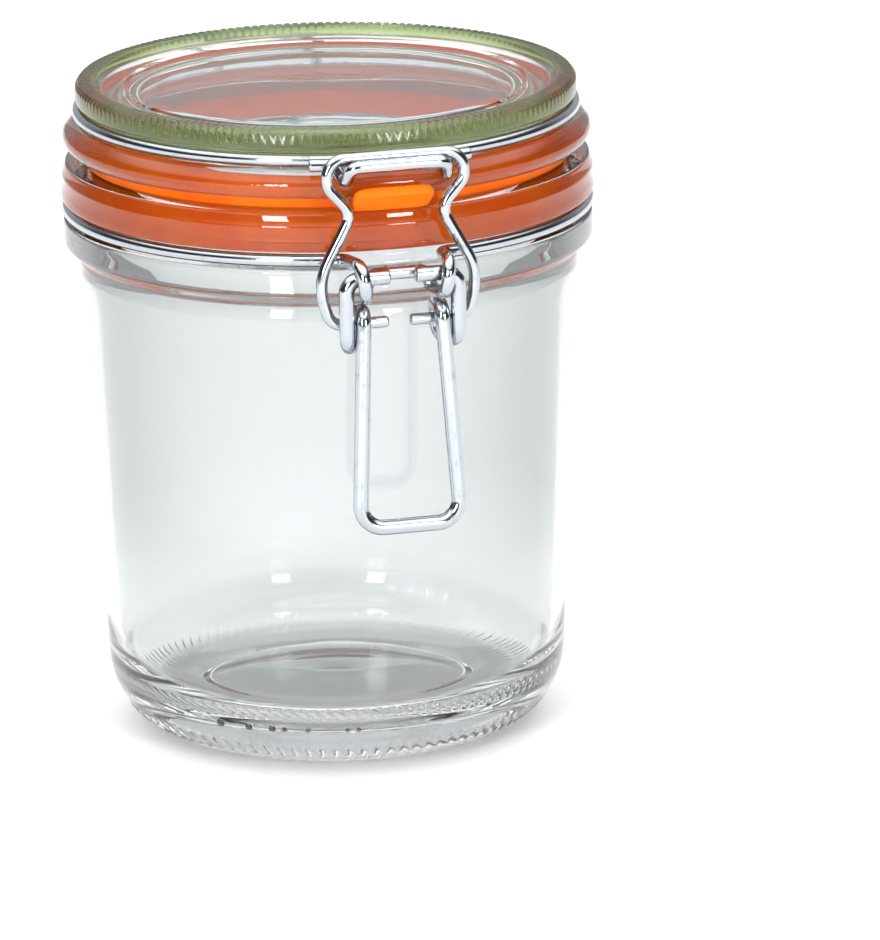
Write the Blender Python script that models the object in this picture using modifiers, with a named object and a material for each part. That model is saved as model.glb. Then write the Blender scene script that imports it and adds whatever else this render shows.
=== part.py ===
"""Swing-top jar: a wide glass jar with a glass lid, a rubber seal and a wire latch.

The jar stands on Z = 0 with its axis on the Z axis. The latch faces -Y and the lid's hinge is at +Y.
Driving dimensions are in millimetres, and MM turns them into metres.
"""
import math

import bmesh
import bpy
from mathutils import Vector

MM = 0.001
GAP = 0.3                 # clearance between pieces that touch on the real jar
TURNED_STEPS = 44         # facets round a turned piece
WELD = 0.0001             # merge distance of the Screw modifiers, metres
ARC_STEP = 38.0           # degrees between the points of a rounded corner
WIRE_ARC_STEP = 28.0      # the same along a wire

# Glass jar
BODY_TOP_R = 56.05        # outer radius just below the collar
BODY_FOOT_R = 51.7        # the tapering wall carried down to the floor
HEEL_R = 17.5             # rounding between wall and base
WALL = 3.6
BEARING_INNER_R = 31.0    # the jar rests on the flat ring outside this radius
PUNT_Z = 4.0              # height of the recessed panel under the base
FLOOR_Z = 10.5            # inside bottom
INNER_HEEL_R = 12.0
MOUTH_R = 50.0
MOUTH_Z = 131.0           # land under the seal
BEAD_R = 59.65            # neck bead
BEAD_TOP_R = 58.6
BEAD_RIDGE_Z = 128.0      # mould parting line on the bead
BEAD_FOOT_Z = 122.4
COLLAR_TOP_Z = 118.6
COLLAR_FOOT_Z = 112.5
COLLAR_R = 59.35
NECK_GROOVE_R = 56.3

# Seal
SEAL_THICK = 2.3
SEAL_OUTER_R = 54.6
LIP_INNER_R = 49.2        # the lip hangs in the mouth, round the lid's plug
LIP_OUTER_R = 49.7
LIP_FOOT_Z = 121.5
TAB_ROOT_WIDTH = 15.0
TAB_WIDTH = 18.2
TAB_OFFSET_X = -1.0
TAB_ROOT_R = 52.0         # the tab starts inside the ring, which it is part of
TAB_BEND_R = 59.3
TAB_TIP_R = 64.6
TAB_TIP_Z = 136.9

# Glass lid
LID_LAND_Z = MOUTH_Z + GAP + SEAL_THICK + GAP + 0.05
LID_FLANGE_R = 59.15
LID_FLANGE_TOP_Z = 140.4
LID_GROOVE_R = 53.6
LID_RIM_FOOT_Z = 144.2
LID_RIM_R = 55.9
LID_TOP_Z = 148.9
LID_PANEL_Z = 147.0       # sunk panel inside the rim
LID_PANEL_R = 50.2
LID_RING_R = 45.0         # raised ring on the sunk panel
PLUG_R = 48.9             # ring under the lid that centres it in the mouth
PLUG_Z = 129.6
LID_UNDER_Z = 141.2

# Wires, radius of the round section
BODY_WIRE = 1.45
LID_WIRE = 1.4
LEVER_WIRE = 1.7
BAIL_WIRE = 1.28

# Wire round the neck and its eyelets; "reach" is the distance out from the jar's axis, along -Y at the front
NECK_RING_R = 58.2
NECK_RING_Z = 120.5
NECK_RING_END_X = 14.0
PIVOT_REACH = 65.05       # lever's pivot in the eyelets
PIVOT_Z = 118.0
EYELET_FRONT = 68.9
EYELET_BACK = 61.5
EYELET_TOP_Z = 121.5
EYELET_FOOT_Z = 113.8
CROSSBAR_Z = 117.8

# Lever
STUB_END_X = 2.9
LINK_X = 12.5
LINK_FOOT_Z = 102.4
PIN_REACH = 61.7          # bail's pivot in the lever's hooks
PIN_Z = 107.2
HOOK_X = 9.0
HOOK_TOP_Z = 110.5
HOOK_BACK = 58.4
HOOK_FRONT = 65.0
HANDLE_X = 11.3
HANDLE_REACH = 68.8
HANDLE_Z = 63.0

# Bail
BAIL_PIN_END_X = 2.5
BAIL_TOP_REACH = 60.55
BAIL_TOP_Z = 143.6
# half outline of the bail: X, Z and bend radius, from the pin up to the top bar
BAIL_OUTLINE = ((15.2, PIN_Z, 3.5), (18.1, 116.6, 12.5), (9.9, 131.6, 4.2), (15.3, 137.6, 3.4), (15.3, BAIL_TOP_Z, 3.9))

# Wire round the lid, its nose for the bail, and the hinge yoke
LID_RING_WIRE_R = 55.4
LID_RING_WIRE_Z = 142.05
NOSE_REACH = 63.8
NOSE_Z = 142.3
NOSE_X = 10.5
NOSE_CURL_Z = 137.95
NOSE_CURL_REACH = 60.6
NOSE_CURL_X = 11.4
LEG_R = LID_RING_WIRE_R + 2 * LID_WIRE + GAP     # the nose's legs and the yoke lie outside the lid's ring
LEG_Z = 141.7
LEG_START_X = 12.8
LEG_END_X = 18.0
YOKE_REACH = HANDLE_REACH + LEVER_WIRE - LID_WIRE   # the hinge stands out as far as the handle
YOKE_STUB_END_X = 4.5
YOKE_X = 13.2

GLASS = ("clear_glass", (0.80, 0.88, 0.86), 0.03, 0.0)
RUBBER = ("orange_rubber", (0.85, 0.16, 0.02), 0.45, 0.0)
STEEL = ("bright_steel_wire", (0.62, 0.64, 0.66), 0.22, 1.0)


def clear_scene():
    """Remove every object of the open scene."""
    for old in list(bpy.data.objects):
        bpy.data.objects.remove(old, do_unlink=True)


def new_collection(name):
    """Make a collection and link it to the scene."""
    group = bpy.data.collections.new(name)
    bpy.context.scene.collection.children.link(group)
    return group


def new_material(finish):
    """Make a Principled material from (name, colour, roughness, metallic)."""
    name, colour, roughness, metallic = finish
    material = bpy.data.materials.new(name)
    material.use_nodes = True
    shader = material.node_tree.nodes["Principled BSDF"]
    shader.inputs["Base Color"].default_value = (*colour, 1.0)
    shader.inputs["Roughness"].default_value = roughness
    shader.inputs["Metallic"].default_value = metallic
    material.diffuse_color = (*colour, 1.0)
    return material


def rounded(corners, step):
    """Points of a path whose corners, given as (point, bend radius), are turned into arcs."""
    points = [Vector(corners[0][0])]
    for index in range(1, len(corners) - 1):
        corner = Vector(corners[index][0])
        radius = corners[index][1]
        into = (corner - Vector(corners[index - 1][0])).normalized()
        out = (Vector(corners[index + 1][0]) - corner).normalized()
        turn = into.angle(out)
        if radius <= 0.0 or turn < math.radians(2.0):
            points.append(corner)
            continue
        start = corner - into * (radius * math.tan(turn / 2))
        inward = (out - into * into.dot(out)).normalized()
        parts = max(1, round(math.degrees(turn) / step))
        for part in range(parts + 1):
            angle = turn * part / parts
            points.append(start + inward * (radius * (1 - math.cos(angle))) + into * (radius * math.sin(angle)))
    points.append(Vector(corners[-1][0]))
    return points


def ring_points(radius, height, start, end, count):
    """Points on a level circle from angle start to angle end, in degrees from +X."""
    points = []
    for index in range(count + 1):
        angle = math.radians(start + (end - start) * index / count)
        points.append(Vector((radius * math.cos(angle), radius * math.sin(angle), height)))
    return points


def turned(name, outline, material, group):
    """Turn an outline of (radius, height, rounding) corners round the Z axis with a Screw modifier."""
    corners = [((radius, 0.0, height), rounding) for radius, height, rounding in outline]
    points = [point * MM for point in rounded(corners, ARC_STEP)]
    mesh = bpy.data.meshes.new(name)
    build = bmesh.new()
    verts = [build.verts.new(point) for point in points]
    for first, second in zip(verts, verts[1:]):
        build.edges.new((first, second))
    build.to_mesh(mesh)
    build.free()
    piece = bpy.data.objects.new(name, mesh)
    mesh.materials.append(material)
    group.objects.link(piece)
    screw = piece.modifiers.new("turn", "SCREW")
    screw.axis = "Z"
    screw.steps = TURNED_STEPS
    screw.render_steps = TURNED_STEPS
    screw.use_merge_vertices = True
    screw.merge_threshold = WELD
    screw.use_smooth_shade = True
    return piece


def wire(name, points, radius, material, group, origin=(0.0, 0.0, 0.0), closed=False):
    """Make a round wire along points; its object stands at origin."""
    origin = Vector(origin)
    curve = bpy.data.curves.new(name, "CURVE")
    curve.dimensions = "3D"
    curve.bevel_depth = radius * MM
    curve.bevel_resolution = 2
    curve.use_fill_caps = not closed
    line = curve.splines.new("POLY")
    line.points.add(len(points) - 1)
    for spot, point in zip(line.points, points):
        spot.co = (*((point - origin) * MM), 1.0)
    line.use_cyclic_u = closed
    line.use_smooth = True
    piece = bpy.data.objects.new(name, curve)
    curve.materials.append(material)
    group.objects.link(piece)
    piece.location = origin * MM
    return piece


def at(x, reach, height, side):
    """A point in X, distance out from the axis and height; side is -1 at the front and +1 at the back."""
    return (x, side * reach, height)


def mirrored(points):
    """The same path on the other side of X = 0, in the reverse order."""
    return [Vector((-point.x, point.y, point.z)) for point in reversed(points)]


def jar_glass(material, group):
    """The jar: inside bottom, wall and mouth, then bead, wire groove, collar, wall, heel and recessed base."""
    taper = (BODY_TOP_R - BODY_FOOT_R) / COLLAR_FOOT_Z
    inner_foot_r = BODY_FOOT_R + taper * FLOOR_Z - WALL
    inner_top_z = COLLAR_FOOT_Z - 6.0
    inner_top_r = BODY_FOOT_R + taper * inner_top_z - WALL
    outline = [
        (0.0, FLOOR_Z, 0.0),
        (inner_foot_r, FLOOR_Z - 0.4, INNER_HEEL_R),
        (inner_top_r, inner_top_z, 14.0),
        (MOUTH_R, inner_top_z + 9.0, 14.0),
        (MOUTH_R, MOUTH_Z, 1.2),
        (BEAD_TOP_R, MOUTH_Z, 0.9),
        (BEAD_TOP_R + 0.55, BEAD_RIDGE_Z + 0.3, 0.0),
        (BEAD_TOP_R + 0.75, BEAD_RIDGE_Z - 0.1, 0.0),
        (BEAD_R, BEAD_RIDGE_Z - 3.6, 3.0),
        (BEAD_R, BEAD_FOOT_Z, 1.0),
        (NECK_GROOVE_R, BEAD_FOOT_Z - 0.1, 0.6),
        (NECK_GROOVE_R, COLLAR_TOP_Z, 0.6),
        (COLLAR_R - 0.1, COLLAR_TOP_Z - 0.2, 0.9),
        (COLLAR_R, COLLAR_FOOT_Z, 2.2),
        (BODY_TOP_R, COLLAR_FOOT_Z - 2.2, 2.0),
        (BODY_FOOT_R, 0.0, HEEL_R),
        (BEARING_INNER_R, 0.0, 0.8),
        (BEARING_INNER_R - 1.6, PUNT_Z - 0.8, 1.4),
        (0.0, PUNT_Z, 0.0),
    ]
    return turned("jar_glass", outline, material, group)


def lid_glass(material, group):
    """The lid: sunk panel with a ring, knurled rim, wire groove, flange, land on the seal and centring plug."""
    outline = [
        (0.0, LID_PANEL_Z, 0.0),
        (LID_RING_R - 0.9, LID_PANEL_Z, 0.0),
        (LID_RING_R, LID_PANEL_Z + 0.45, 0.0),
        (LID_RING_R + 0.9, LID_PANEL_Z, 0.0),
        (LID_PANEL_R, LID_PANEL_Z + 0.1, 0.8),
        (LID_PANEL_R + 1.3, LID_TOP_Z - 0.1, 0.8),
        (LID_RIM_R - 0.9, LID_TOP_Z, 0.0),
        (LID_RIM_R, LID_TOP_Z - 1.1, 0.6),
        (LID_RIM_R, LID_RIM_FOOT_Z, 0.7),
        (LID_GROOVE_R, LID_RIM_FOOT_Z - 0.3, 0.7),
        (LID_GROOVE_R, LID_FLANGE_TOP_Z, 0.6),
        (LID_FLANGE_R - 0.5, LID_FLANGE_TOP_Z - 0.1, 2.0),
        (LID_FLANGE_R, LID_LAND_Z + 2.4, 2.0),
        (LID_FLANGE_R - 0.6, LID_LAND_Z, 0.9),
        (MOUTH_R + 0.9, LID_LAND_Z, 0.5),
        (PLUG_R, LID_LAND_Z - 0.9, 0.3),
        (PLUG_R, PLUG_Z, 0.9),
        (PLUG_R - 2.8, PLUG_Z, 0.9),
        (PLUG_R - 4.2, LID_UNDER_Z - 0.3, 4.0),
        (0.0, LID_UNDER_Z, 0.0),
    ]
    return turned("lid_glass", outline, material, group)


def seal(material, group):
    """The rubber ring with a lip down into the mouth and a pull tab, which rises outwards through the bail."""
    foot = MOUTH_Z + GAP
    top = foot + SEAL_THICK
    outline = [
        (LIP_INNER_R, LIP_FOOT_Z, 0.0),
        (LIP_INNER_R, top - 1.1, 0.0),
        (LIP_INNER_R + 2.2, top, 0.0),
        (SEAL_OUTER_R - 0.3, top, 0.0),
        (SEAL_OUTER_R, top - 0.3, 0.0),
        (SEAL_OUTER_R, foot + 0.3, 0.0),
        (SEAL_OUTER_R - 0.3, foot, 0.0),
        (LIP_OUTER_R + 1.3, foot, 0.0),
        (LIP_OUTER_R, foot - 1.3, 0.0),
        (LIP_OUTER_R, LIP_FOOT_Z, 0.0),
        (LIP_INNER_R, LIP_FOOT_Z, 0.0),
    ]
    ring = turned("seal", outline, material, group)
    tab = seal_tab(group)
    union = ring.modifiers.new("tab", "BOOLEAN")
    union.operation = "UNION"
    union.object = tab
    return ring


def seal_tab(group):
    """A guide solid for the tab: a strip that bends up, lofted along its length with a rounded tip."""
    cutters = new_collection("guides")
    half = SEAL_THICK / 2 - 0.02
    middle = MOUTH_Z + GAP + SEAL_THICK / 2
    corners = [
        (Vector((0.0, TAB_ROOT_R, middle)), 0.0),
        (Vector((0.0, TAB_BEND_R, middle)), 3.0),
        (Vector((0.0, TAB_TIP_R, TAB_TIP_Z)), 0.0),
    ]
    line = rounded(corners, 15.0)
    tip = line.pop()
    corner_r = 2.4
    for share in (1.0, 0.45, 0.12, 0.0):
        line.append(tip + (line[-1] - tip).normalized() * corner_r * share)
    build = bmesh.new()
    sections = []
    for index, point in enumerate(line):
        before = line[max(index - 1, 0)]
        after = line[min(index + 1, len(line) - 1)]
        along = (after - before).normalized()
        across = Vector((0.0, -along.z, along.y)) * half
        from_tip = (tip - point).length
        inset = 0.0
        if from_tip < corner_r:
            inset = corner_r - math.sqrt(corner_r ** 2 - (corner_r - from_tip) ** 2)
        share = (point.y - TAB_ROOT_R) / (TAB_TIP_R - TAB_ROOT_R)
        width = (TAB_ROOT_WIDTH + (TAB_WIDTH - TAB_ROOT_WIDTH) * share) / 2 - inset
        section = []
        for sign, edge in ((-1, across), (1, across), (1, -across), (-1, -across)):
            spot = point + edge
            section.append(build.verts.new(Vector((TAB_OFFSET_X + sign * width, -spot.y, spot.z)) * MM))
        sections.append(section)
    for first, second in zip(sections, sections[1:]):
        for corner in range(4):
            following = (corner + 1) % 4
            build.faces.new((first[corner], first[following], second[following], second[corner]))
    build.faces.new(reversed(sections[0]))
    build.faces.new(sections[-1])
    bmesh.ops.recalc_face_normals(build, faces=build.faces)
    mesh = bpy.data.meshes.new("seal_tab_guide")
    build.to_mesh(mesh)
    build.free()
    tab = bpy.data.objects.new("seal_tab_guide", mesh)
    tab.hide_render = True
    tab.display_type = "WIRE"
    cutters.objects.link(tab)
    return tab


def eyelet(side):
    """The neck wire from the ring's end, once round the pivot and up to the crossbar, at negative X."""
    ring_reach = math.sqrt(NECK_RING_R ** 2 - NECK_RING_END_X ** 2)
    bend = (EYELET_FRONT - EYELET_BACK) / 2 - 0.2
    foot_bend = (CROSSBAR_Z - EYELET_FOOT_Z) / 2 - 0.05
    corners = [
        (at(-NECK_RING_END_X, ring_reach, NECK_RING_Z, side), 0.0),
        (at(-10.8, 57.6, NECK_RING_Z + 0.1, side), 2.6),
        (at(-9.7, EYELET_FRONT, EYELET_TOP_Z, side), bend),
        (at(-8.9, EYELET_FRONT, EYELET_FOOT_Z, side), bend),
        (at(-7.3, EYELET_BACK, EYELET_FOOT_Z + 0.05, side), foot_bend),
        (at(-6.4, EYELET_BACK, CROSSBAR_Z, side), foot_bend),
        (at(0.0, EYELET_BACK, CROSSBAR_Z, side), 0.0),
    ]
    return rounded(corners, WIRE_ARC_STEP)


def neck_ring(material, group):
    """One closed wire: the ring in the neck groove with two eyelets and a crossbar at the front and at the back."""
    end_angle = math.degrees(math.acos(NECK_RING_END_X / NECK_RING_R))
    right = ring_points(NECK_RING_R, NECK_RING_Z, -end_angle, end_angle, 20)[1:-1]
    left = ring_points(NECK_RING_R, NECK_RING_Z, 180.0 - end_angle, 180.0 + end_angle, 20)[1:-1]
    front = eyelet(-1)[:-1]
    back = eyelet(1)[:-1]
    points = front + mirrored(front) + right + list(reversed(back + mirrored(back))) + left
    return wire("neck_ring", points, BODY_WIRE, material, group, closed=True)


def lever(material, group):
    """One wire: stub in the eyelet, link down, hook over the bail's pin, and the handle; the same on both sides."""
    front = -1
    corners = [
        (at(-STUB_END_X, PIVOT_REACH, PIVOT_Z, front), 0.0),
        (at(-LINK_X, PIVOT_REACH, PIVOT_Z, front), 3.2),
        (at(-LINK_X, PIVOT_REACH - 0.2, LINK_FOOT_Z, front), 3.2),
        (at(-HOOK_X - 0.4, HOOK_BACK, LINK_FOOT_Z, front), 3.2),
        (at(-HOOK_X, HOOK_BACK, HOOK_TOP_Z, front), 3.15),
        (at(-HOOK_X + 0.3, HOOK_FRONT, HOOK_TOP_Z, front), 3.15),
        (at(-HANDLE_X, HANDLE_REACH, HANDLE_Z, front), 5.0),
        (at(0.0, HANDLE_REACH, HANDLE_Z, front), 0.0),
    ]
    half = rounded(corners, WIRE_ARC_STEP)[:-1]
    origin = at(0.0, PIVOT_REACH, PIVOT_Z, front)
    return wire("lever", half + mirrored(half), LEVER_WIRE, material, group, origin)


def bail(material, group):
    """The hourglass loop of thinner wire, with a pin at each end that turns in the lever's hooks."""
    lean = (BAIL_TOP_REACH - PIN_REACH) / (BAIL_TOP_Z - PIN_Z)
    corners = [(at(-BAIL_PIN_END_X, PIN_REACH, PIN_Z, -1), 0.0)]
    for x, height, bend in BAIL_OUTLINE:
        corners.append((at(-x, PIN_REACH + lean * (height - PIN_Z), height, -1), bend))
    corners.append((at(0.0, BAIL_TOP_REACH, BAIL_TOP_Z, -1), 0.0))
    half = rounded(corners, WIRE_ARC_STEP)[:-1]
    origin = at(0.0, PIN_REACH, PIN_Z, -1)
    return wire("bail", half + mirrored(half), BAIL_WIRE, material, group, origin)


def leg_end(side, x):
    """The point at X = x where a leg lies along the outside of the lid's ring."""
    return at(x, math.sqrt(LEG_R ** 2 - x ** 2), LEG_Z, side)


def lid_ring(material, group):
    """The wire ring in the lid's groove."""
    points = ring_points(LID_RING_WIRE_R, LID_RING_WIRE_Z, 0.0, 360.0, TURNED_STEPS)[:-1]
    return wire("lid_ring", points, LID_WIRE, material, group, closed=True)


def lid_nose(material, group):
    """The nose that the bail hooks over: a front bar, a curl down at each end and a leg back along the ring."""
    corners = [
        (leg_end(-1, -LEG_END_X), 0.0),
        (leg_end(-1, -(LEG_END_X + LEG_START_X) / 2), 0.0),
        (leg_end(-1, -LEG_START_X), 1.9),
        (at(-NOSE_CURL_X, NOSE_CURL_REACH, NOSE_CURL_Z, -1), 1.9),
        (at(-NOSE_X, NOSE_REACH, NOSE_Z, -1), 2.0),
        (at(0.0, NOSE_REACH, NOSE_Z, -1), 0.0),
    ]
    half = rounded(corners, WIRE_ARC_STEP)[:-1]
    return wire("lid_nose", half + mirrored(half), LID_WIRE, material, group)


def hinge_yoke(material, group):
    """The hinge at the back: stubs in the rear eyelets, rising to a wire along the back of the lid's ring."""
    corners = [
        (at(-YOKE_STUB_END_X, PIVOT_REACH, PIVOT_Z, 1), 0.0),
        (at(-YOKE_X, PIVOT_REACH, PIVOT_Z, 1), 3.0),
        (at(-YOKE_X, YOKE_REACH, PIVOT_Z + 4.5, 1), 3.0),
        (at(-YOKE_X, YOKE_REACH, PIVOT_Z + 11.0, 1), 5.0),
        (leg_end(1, -YOKE_X), 2.4),
        (leg_end(1, -YOKE_X / 2), 0.0),
        (leg_end(1, 0.0), 0.0),
    ]
    half = rounded(corners, WIRE_ARC_STEP)[:-1]
    return wire("hinge_yoke", half + mirrored(half), LID_WIRE, material, group)


def main():
    """Build every piece of the jar."""
    clear_scene()
    group = new_collection("swing_top_jar")
    glass = new_material(GLASS)
    rubber = new_material(RUBBER)
    steel = new_material(STEEL)
    jar_glass(glass, group)
    seal(rubber, group)
    lid_glass(glass, group)
    neck_ring(steel, group)
    lid_ring(steel, group)
    lid_nose(steel, group)
    hinge_yoke(steel, group)
    lever(steel, group)
    bail(steel, group)


main()
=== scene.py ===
"""The looks of a swing-top jar: clear pressed glass, an orange rubber seal and a bright wire latch.

Sizes are in millimetres, heights are above the floor that the jar stands on, and the latch faces -Y. The main
sizes are read from the frame, and the others are the fields of each sub-assembly.
"""
import logging
import math
from dataclasses import dataclass
from enum import Enum
from functools import reduce
from typing import Callable, Sequence

import bpy
import numpy as np
from bpy.types import ID, Material, NodeSocket, NodeTree, Object, World
from mathutils import Matrix, Vector


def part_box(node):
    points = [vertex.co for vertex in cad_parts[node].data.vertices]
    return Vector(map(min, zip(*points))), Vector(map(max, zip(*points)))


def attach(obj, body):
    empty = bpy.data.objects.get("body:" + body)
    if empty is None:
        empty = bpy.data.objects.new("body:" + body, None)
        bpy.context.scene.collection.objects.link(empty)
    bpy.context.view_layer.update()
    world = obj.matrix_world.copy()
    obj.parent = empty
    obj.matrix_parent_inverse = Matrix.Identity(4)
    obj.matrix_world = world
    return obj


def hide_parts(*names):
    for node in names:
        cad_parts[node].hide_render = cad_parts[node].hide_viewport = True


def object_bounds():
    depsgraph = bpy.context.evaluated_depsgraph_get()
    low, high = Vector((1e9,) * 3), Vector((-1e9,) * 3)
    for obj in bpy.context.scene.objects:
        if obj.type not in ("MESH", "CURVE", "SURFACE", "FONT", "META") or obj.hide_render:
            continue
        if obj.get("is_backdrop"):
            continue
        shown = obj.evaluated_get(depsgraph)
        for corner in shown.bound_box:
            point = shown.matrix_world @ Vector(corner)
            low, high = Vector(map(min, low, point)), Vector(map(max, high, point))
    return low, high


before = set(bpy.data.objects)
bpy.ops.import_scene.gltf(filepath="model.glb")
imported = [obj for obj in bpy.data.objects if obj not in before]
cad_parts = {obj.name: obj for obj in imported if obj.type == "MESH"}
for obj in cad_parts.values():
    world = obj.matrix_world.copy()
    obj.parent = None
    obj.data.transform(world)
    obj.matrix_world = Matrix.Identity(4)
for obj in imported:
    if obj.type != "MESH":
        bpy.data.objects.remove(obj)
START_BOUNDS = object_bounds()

MM = 0.001
TINY = 1e-6
PIVOT_REACH = 65.05
PIVOT_HEIGHT = 118.0
# Painted shade: nearly black glass for the heel's mould dots, which look dark only by the light that their
# small lenses bend.
DOT_PAINTED_SHADE_TINT = (0.16, 0.17, 0.17)
log = logging.getLogger("swing_top_jar")

Array = np.ndarray
Span = tuple[float, float]
Colour = tuple[float, float, float]
Stop = tuple[float, float, float, float]
Corner = tuple[tuple[float, ...], float]
Relief = Callable[[Array, Array, Array], Array]


class Side(Enum):
    """Which side of the jar a wire belongs to: the sign of Y."""

    FRONT = -1
    BACK = 1


class Body(Enum):
    """The rigid bodies of the frame."""

    JAR = "jar"
    LEVER = "lever"
    BAIL = "bail"


class Slot(Enum):
    """The record's material slots."""

    GLASS = "clear_glass"
    RUBBER = "orange_rubber"
    STEEL = "bright_steel_wire"


# Measuring the frame


def node_box(node: str) -> tuple[Array, Array]:
    """The lowest and highest corners of a CAD node.

    Args:
        node: name of the CAD node.

    Returns:
        Two arrays of X, Y and Z in millimetres.
    """
    low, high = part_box(node)
    return np.array(low) / MM, np.array(high) / MM


# Objects, paths and surfaces


def add_object(name: str, data: ID) -> Object:
    """A new object in the scene, at the origin."""
    made = bpy.data.objects.new(name, data)
    bpy.context.scene.collection.objects.link(made)
    return made


def rise(values: Array, start: float, end: float) -> Array:
    """A straight ramp from 0 at start to 1 at end, level outside them."""
    return np.clip((values - start) / (end - start), 0.0, 1.0)


def rounded(corners: Sequence[Corner], step: float = 7.0) -> Array:
    """A path through corners, with each corner turned into an arc that is tangent to both its sides.

    An arc of bend radius r starts r * tan(turn / 2) before its corner, and its point at angle a lies at
    start + inward * r * (1 - cos a) + along * r * sin a.

    Args:
        corners: (point, bend radius) pairs; the points have two or three coordinates.
        step: largest angle between neighbouring points of an arc, in degrees.

    Returns:
        The path's points, one row each.
    """
    spots = [np.array(point, float) for point, _ in corners]
    stretches = [spots[0][None]]
    for index in range(1, len(corners) - 1):
        radius = corners[index][1]
        into = spots[index] - spots[index - 1]
        out = spots[index + 1] - spots[index]
        into /= np.linalg.norm(into)
        out /= np.linalg.norm(out)
        turn = math.acos(float(np.clip(into @ out, -1.0, 1.0)))
        if radius <= 0.0 or turn < math.radians(1.0):
            stretches.append(spots[index][None])
            continue
        inward = out - into * (into @ out)
        inward /= np.linalg.norm(inward)
        start = spots[index] - into * radius * math.tan(turn / 2)
        angle = np.linspace(0.0, turn, max(2, math.ceil(math.degrees(turn) / step)) + 1)[:, None]
        stretches.append(start + inward * radius * (1 - np.cos(angle)) + into * radius * np.sin(angle))
    stretches.append(spots[-1][None])
    return np.concatenate(stretches)


def spaced(path: Array, longest: float, closed: bool = False) -> Array:
    """The same path with its long stretches divided evenly.

    Args:
        path: points, one row each.
        longest: largest distance between neighbours after the division.
        closed: whether the last point joins the first.

    Returns:
        The divided path.
    """
    ends = np.roll(path, -1, axis=0) if closed else path[1:]
    starts = path if closed else path[:-1]
    lengths = np.linalg.norm(ends - starts, axis=1)
    keep = lengths > TINY
    starts, ends, lengths = starts[keep], ends[keep], lengths[keep]
    counts = np.maximum(1, np.ceil(lengths / longest)).astype(int)
    which = np.repeat(np.arange(len(counts)), counts)
    first = np.repeat(np.cumsum(counts) - counts, counts)
    share = ((np.arange(counts.sum()) - first) / counts[which])[:, None]
    points = starts[which] + (ends - starts)[which] * share
    return points if closed else np.concatenate([points, path[-1:]])


def grid_faces(rows: int, columns: int, wrap_rows: bool, wrap_columns: bool) -> Array:
    """The quads of a grid of vertices numbered row by row.

    Args:
        rows: number of rows.
        columns: number of vertices in a row.
        wrap_rows: whether the last row joins the first.
        wrap_columns: whether each row closes on itself.

    Returns:
        An array of four vertex numbers for each quad.
    """
    row = np.arange(rows if wrap_rows else rows - 1)[:, None]
    column = np.arange(columns if wrap_columns else columns - 1)[None, :]
    next_row = (row + 1) % rows
    next_column = (column + 1) % columns
    corners = (row * columns + column, next_row * columns + column,
               next_row * columns + next_column, row * columns + next_column)
    return np.stack(np.broadcast_arrays(*corners), axis=-1).reshape(-1, 4)


def fan_faces(hub: int, rim: Array) -> Array:
    """Triangles that close a ring of vertices round a hub."""
    return np.stack([np.full(len(rim), hub), rim, np.roll(rim, -1)], axis=1)


def end_fans(count: int, sides: int) -> Array:
    """Triangles that close both ends of a grid of count vertices, whose two hubs come after them."""
    rim = np.arange(sides)
    return np.concatenate([fan_faces(count, rim), fan_faces(count + 1, (rim + count - sides)[::-1])])


@dataclass
class Surface:
    """A mesh as arrays: points in millimetres, quads and triangles as vertex numbers."""

    points: Array
    quads: Array
    triangles: Array

    def volume(self) -> float:
        """The signed volume, from the tetrahedra that each triangle makes with the origin."""
        corners = np.concatenate([self.quads[:, (0, 1, 2)], self.quads[:, (0, 2, 3)], self.triangles])
        one, two, three = (self.points[corners[:, column]] for column in range(3))
        return float(np.einsum("ij,ij->i", one, np.cross(two, three)).sum() / 6)

    def joined(self, other: "Surface") -> "Surface":
        """This surface and another one as a single mesh."""
        shift = len(self.points)
        return Surface(np.concatenate([self.points, other.points]),
                       np.concatenate([self.quads, other.quads + shift]),
                       np.concatenate([self.triangles, other.triangles + shift]))

    def outward(self) -> "Surface":
        """The same surface with its faces turned outwards, which a positive volume shows."""
        if self.volume() >= 0.0:
            return self
        return Surface(self.points, self.quads[:, ::-1], self.triangles[:, ::-1])

    def to_object(self, name: str, material: Material) -> Object:
        """Put the arrays into a smooth-shaded mesh.

        Args:
            name: name of the object and its mesh.
            material: its only material.

        Returns:
            The new object, linked to the scene, at the origin.
        """
        mesh = bpy.data.meshes.new(name)
        corners = np.concatenate([self.quads.ravel(), self.triangles.ravel()])
        sizes = np.concatenate([np.full(len(self.quads), 4), np.full(len(self.triangles), 3)])
        mesh.vertices.add(len(self.points))
        mesh.vertices.foreach_set("co", (self.points * MM).astype(np.float32).ravel())
        mesh.loops.add(len(corners))
        mesh.loops.foreach_set("vertex_index", corners.astype(np.int32))
        mesh.polygons.add(len(sizes))
        mesh.polygons.foreach_set("loop_start", (np.cumsum(sizes) - sizes).astype(np.int32))
        mesh.polygons.foreach_set("use_smooth", np.ones(len(sizes), bool))
        mesh.update(calc_edges=True)
        mesh.validate()
        mesh.materials.append(material)
        return add_object(name, mesh)


def no_relief(radius: Array, height: Array, angle: Array) -> Array:
    """A surface without relief."""
    return np.zeros(np.broadcast(radius, height, angle).shape)


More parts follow.
